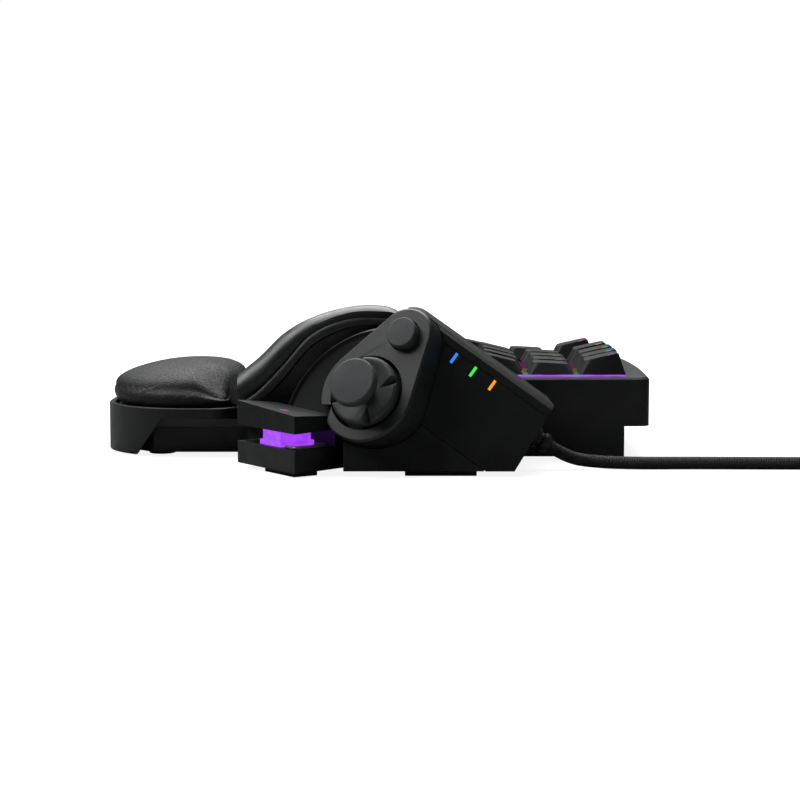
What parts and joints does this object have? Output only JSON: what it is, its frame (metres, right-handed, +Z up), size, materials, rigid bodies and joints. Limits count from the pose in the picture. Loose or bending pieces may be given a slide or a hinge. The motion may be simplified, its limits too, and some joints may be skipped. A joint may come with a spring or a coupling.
{
  "type": "gaming keypad",
  "caption": "Left-hand keypad with sprung finger keys, a thumb module with tilting pad, button and key, a scroll wheel, a sliding padded palm rest and a braided USB cable.",
  "frame": {"origin": "middle of the keypad's footprint, on the desk, measured without the free cable", "axes": "+X towards the thumb side, +Y away from the user, +Z up"},
  "size_m": [0.1582, 0.3416, 0.0578],
  "materials": {
    "case_plastic": "fine matte texture",
    "module_plastic": "satin",
    "key_plastic": "matte, back-lit numbers",
    "soft_touch": "soft touch",
    "leather": "fine grain",
    "rubber": "matte",
    "clear_plastic": "lit from inside",
    "switch_plastic": "moulded",
    "steel": "plated",
    "board": "solder mask",
    "cable_braid": "braided sleeve",
    "plug_plastic": "moulded"
  },
  "bodies": {
    "base": {"upper_case": "case_plastic", "lower_case": "case_plastic", "case_screws": "steel", "switch_plate": "steel", "plate_pillars": "switch_plastic", "main_circuit_board": "board", "switch_housings": "switch_plastic", "wheel_encoder": "switch_plastic", "rear_base": "case_plastic", "slide_plate": "case_plastic", "arch_shell": "case_plastic", "module_shell": "module_plastic", "module_top_cover": "module_plastic", "module_lower_cover": "case_plastic", "indicator_lights": "clear_plastic", "indicator_board": "board", "thumb_panel": "module_plastic", "stick_socket": "switch_plastic", "thumb_circuit_board": "board", "thumb_bowl": "case_plastic", "thumb_key_block": "case_plastic", "thumb_key_switch": "clear_plastic", "stabiliser_wire": "steel", "rubber_feet": "rubber", "cable_gland": "case_plastic", "cable_lead": "cable_braid", "cable_coil": "cable_braid", "usb_plug": "plug_plastic", "usb_plug_shell": "steel"},
    "palm_rest": {"palm_rest_shell": "case_plastic", "palm_cushion": "leather"},
    "thumb_key": {"thumb_keycap": "key_plastic"},
    "mode_button": {"mode_button": "soft_touch"},
    "pad_gimbal": {"gimbal_ring": "switch_plastic"},
    "thumb_pad": {"thumb_pad": "soft_touch", "stick_cap": "soft_touch"},
    "wheel_carrier": {"wheel_carrier": "switch_plastic"},
    "scroll_wheel": {"wheel_hub": "switch_plastic", "wheel_tyre": "rubber"},
    "key_01": {"keycap_01": "key_plastic"},
    "key_02": {"keycap_02": "key_plastic"},
    "key_03": {"keycap_03": "key_plastic"},
    "key_04": {"keycap_04": "key_plastic"},
    "key_05": {"keycap_05": "key_plastic"},
    "key_06": {"keycap_06": "key_plastic"},
    "key_07": {"keycap_07": "key_plastic"},
    "key_08": {"keycap_08": "key_plastic"},
    "key_09": {"keycap_09": "key_plastic"},
    "key_10": {"keycap_10": "key_plastic"},
    "key_11": {"keycap_11": "key_plastic"},
    "key_12": {"keycap_12": "key_plastic"},
    "key_13": {"keycap_13": "key_plastic"},
    "key_14": {"keycap_14": "key_plastic"},
    "key_15": {"keycap_15": "key_plastic"},
    "key_16": {"keycap_16": "key_plastic"},
    "key_17": {"keycap_17": "key_plastic"},
    "key_18": {"keycap_18": "key_plastic"},
    "key_19": {"keycap_19": "key_plastic"}
  },
  "joints": [
    {"name": "key_01_press", "type": "slide", "parent": "base", "child": "key_01", "axis": [0, 0, -1], "range_m": [0, 0.0035], "stiffness_N_per_m": 120, "springref_m": -0.002},
    {"name": "key_02_press", "type": "slide", "parent": "base", "child": "key_02", "axis": [0, 0, -1], "range_m": [0, 0.0035], "stiffness_N_per_m": 120, "springref_m": -0.002},
    {"name": "key_03_press", "type": "slide", "parent": "base", "child": "key_03", "axis": [0, 0, -1], "range_m": [0, 0.0035], "stiffness_N_per_m": 120, "springref_m": -0.002},
    {"name": "key_04_press", "type": "slide", "parent": "base", "child": "key_04", "axis": [0, 0, -1], "range_m": [0, 0.0035], "stiffness_N_per_m": 120, "springref_m": -0.002},
    {"name": "key_05_press", "type": "slide", "parent": "base", "child": "key_05", "axis": [0, 0, -1], "range_m": [0, 0.0035], "stiffness_N_per_m": 120, "springref_m": -0.002},
    {"name": "key_06_press", "type": "slide", "parent": "base", "child": "key_06", "axis": [0, 0, -1], "range_m": [0, 0.0035], "stiffness_N_per_m": 120, "springref_m": -0.002},
    {"name": "key_07_press", "type": "slide", "parent": "base", "child": "key_07", "axis": [0, 0, -1], "range_m": [0, 0.0035], "stiffness_N_per_m": 120, "springref_m": -0.002},
    {"name": "key_08_press", "type": "slide", "parent": "base", "child": "key_08", "axis": [0, 0, -1], "range_m": [0, 0.0035], "stiffness_N_per_m": 120, "springref_m": -0.002},
    {"name": "key_09_press", "type": "slide", "parent": "base", "child": "key_09", "axis": [0, 0, -1], "range_m": [0, 0.0035], "stiffness_N_per_m": 120, "springref_m": -0.002},
    {"name": "key_10_press", "type": "slide", "parent": "base", "child": "key_10", "axis": [0, 0, -1], "range_m": [0, 0.0035], "stiffness_N_per_m": 120, "springref_m": -0.002},
    {"name": "key_11_press", "type": "slide", "parent": "base", "child": "key_11", "axis": [0, 0, -1], "range_m": [0, 0.0035], "stiffness_N_per_m": 120, "springref_m": -0.002},
    {"name": "key_12_press", "type": "slide", "parent": "base", "child": "key_12", "axis": [0, 0, -1], "range_m": [0, 0.0035], "stiffness_N_per_m": 120, "springref_m": -0.002},
    {"name": "key_13_press", "type": "slide", "parent": "base", "child": "key_13", "axis": [0, 0, -1], "range_m": [0, 0.0035], "stiffness_N_per_m": 120, "springref_m": -0.002},
    {"name": "key_14_press", "type": "slide", "parent": "base", "child": "key_14", "axis": [0, 0, -1], "range_m": [0, 0.0035], "stiffness_N_per_m": 120, "springref_m": -0.002},
    {"name": "key_15_press", "type": "slide", "parent": "base", "child": "key_15", "axis": [0, 0, -1], "range_m": [0, 0.0035], "stiffness_N_per_m": 120, "springref_m": -0.002},
    {"name": "key_16_press", "type": "slide", "parent": "base", "child": "key_16", "axis": [0, 0, -1], "range_m": [0, 0.0035], "stiffness_N_per_m": 120, "springref_m": -0.002},
    {"name": "key_17_press", "type": "slide", "parent": "base", "child": "key_17", "axis": [0, 0, -1], "range_m": [0, 0.0035], "stiffness_N_per_m": 120, "springref_m": -0.002},
    {"name": "key_18_press", "type": "slide", "parent": "base", "child": "key_18", "axis": [0, 0, -1], "range_m": [0, 0.0035], "stiffness_N_per_m": 120, "springref_m": -0.002},
    {"name": "key_19_press", "type": "slide", "parent": "base", "child": "key_19", "axis": [0, 0, -1], "range_m": [0, 0.0035], "stiffness_N_per_m": 120, "springref_m": -0.002},
    {"name": "thumb_key_press", "type": "slide", "parent": "base", "child": "thumb_key", "axis": [0, 0, -1], "range_m": [0, 0.0035], "stiffness_N_per_m": 140, "springref_m": -0.002},
    {"name": "mode_button_press", "type": "slide", "parent": "base", "child": "mode_button", "axis": [-0.8075, 0.4115, -0.4226], "range_m": [0, 0.001], "stiffness_N_per_m": 500, "springref_m": -0.001},
    {"name": "pad_tilt_first", "type": "hinge", "parent": "base", "child": "pad_gimbal", "pos_m": [0.06151, -0.00077, 0.02712], "axis": [-0.1494, 0.5504, 0.8214], "range_deg": [-6, 6], "stiffness_Nm_per_rad": 0.06},
    {"name": "pad_tilt_second", "type": "hinge", "parent": "pad_gimbal", "child": "thumb_pad", "pos_m": [0.06151, -0.00077, 0.02712], "axis": [-0.5706, -0.7264, 0.383], "range_deg": [-6, 6], "stiffness_Nm_per_rad": 0.06},
    {"name": "wheel_click", "type": "slide", "parent": "base", "child": "wheel_carrier", "axis": [0, 0, -1], "range_m": [0, 0.0008], "stiffness_N_per_m": 600, "springref_m": -0.0008},
    {"name": "wheel_spin", "type": "hinge", "parent": "wheel_carrier", "child": "scroll_wheel", "pos_m": [0.0114, 0.02755, 0.0262], "axis": [1, 0, 0], "continuous": true},
    {"name": "palm_rest_slide", "type": "slide", "parent": "base", "child": "palm_rest", "axis": [0, -1, 0], "range_m": [0, 0.014]}
  ]
}
